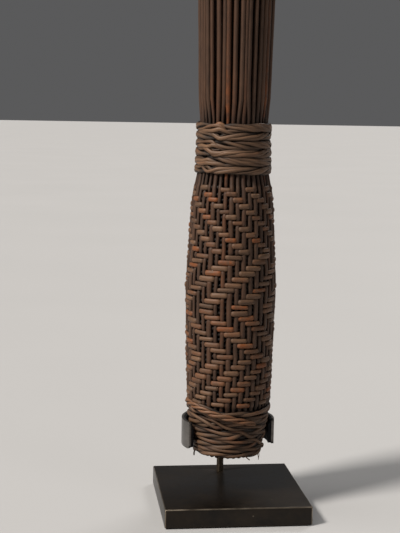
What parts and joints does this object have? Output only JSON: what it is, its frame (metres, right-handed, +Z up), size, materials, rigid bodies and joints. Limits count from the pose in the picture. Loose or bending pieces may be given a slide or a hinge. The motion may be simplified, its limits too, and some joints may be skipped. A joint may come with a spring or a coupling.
{
  "type": "hand whisk",
  "caption": "Hand whisk of bundled slender stems with a twill-plaited grip lashed by twisted cord, held upright by an open clip band on a post and square plate.",
  "frame": {"origin": "middle of the stand's footprint, on the surface that its felt feet rest on", "axes": "+Z up along the whisk towards its tips, -Y towards the side of the plate in front of the whisk, the post standing behind the whisk on +Y"},
  "size_m": [0.08, 0.08, 0.4808],
  "materials": {
    "patinated_steel": "dark brown patina, semi-gloss",
    "felt": "pressed felt",
    "post_steel": "browned, satin",
    "band_steel": "brushed, satin",
    "lining": "matt",
    "braze": "dull",
    "stem": "dry plant stem, matt to satin",
    "weft": "split plant stem, satin",
    "cord": "twisted plant fibre, dry"
  },
  "bodies": {
    "stand": {"base_plate": "patinated_steel", "felt_feet": "felt", "post": "post_steel", "post_nut": "post_steel", "post_washer": "post_steel", "clip_band": "band_steel", "band_lining": "lining", "braze_seams": "braze"},
    "whisk": {"core_stem": "stem", "inner_stems_ring_1": "stem", "inner_stems_ring_2": "stem", "inner_stems_ring_3": "stem", "inner_stems_ring_4": "stem", "inner_stems_ring_5": "stem", "outer_stems_01": "stem", "outer_stems_02": "stem", "outer_stems_03": "stem", "outer_stems_04": "stem", "outer_stems_05": "stem", "outer_stems_06": "stem", "outer_stems_07": "stem", "outer_stems_08": "stem", "outer_stems_09": "stem", "outer_stems_10": "stem", "outer_stems_11": "stem", "outer_stems_12": "stem", "outer_stems_13": "stem", "outer_stems_14": "stem", "outer_stems_15": "stem", "outer_stems_16": "stem", "outer_stems_17": "stem", "outer_stems_18": "stem", "outer_stems_19": "stem", "outer_stems_20": "stem", "weft_rows_01_02": "weft", "weft_rows_03_04": "weft", "weft_rows_05_06": "weft", "weft_rows_07_08": "weft", "weft_rows_09_10": "weft", "weft_rows_11_12": "weft", "weft_rows_13_14": "weft", "weft_rows_15_16": "weft", "weft_rows_17_18": "weft", "weft_rows_19_20": "weft", "weft_rows_21_22": "weft", "weft_rows_23_24": "weft", "weft_rows_25_26": "weft", "weft_rows_27_28": "weft", "weft_rows_29_30": "weft", "weft_rows_31_32": "weft", "weft_rows_33_34": "weft", "weft_rows_35_36": "weft", "weft_rows_37_38": "weft", "weft_rows_39_40": "weft", "upper_lashing": "cord", "lower_lashing": "cord"}
  },
  "joints": [
    {"name": "whisk_lift", "type": "slide", "parent": "stand", "child": "whisk", "axis": [0, 0, 1], "range_m": [0, 0.05]}
  ]
}
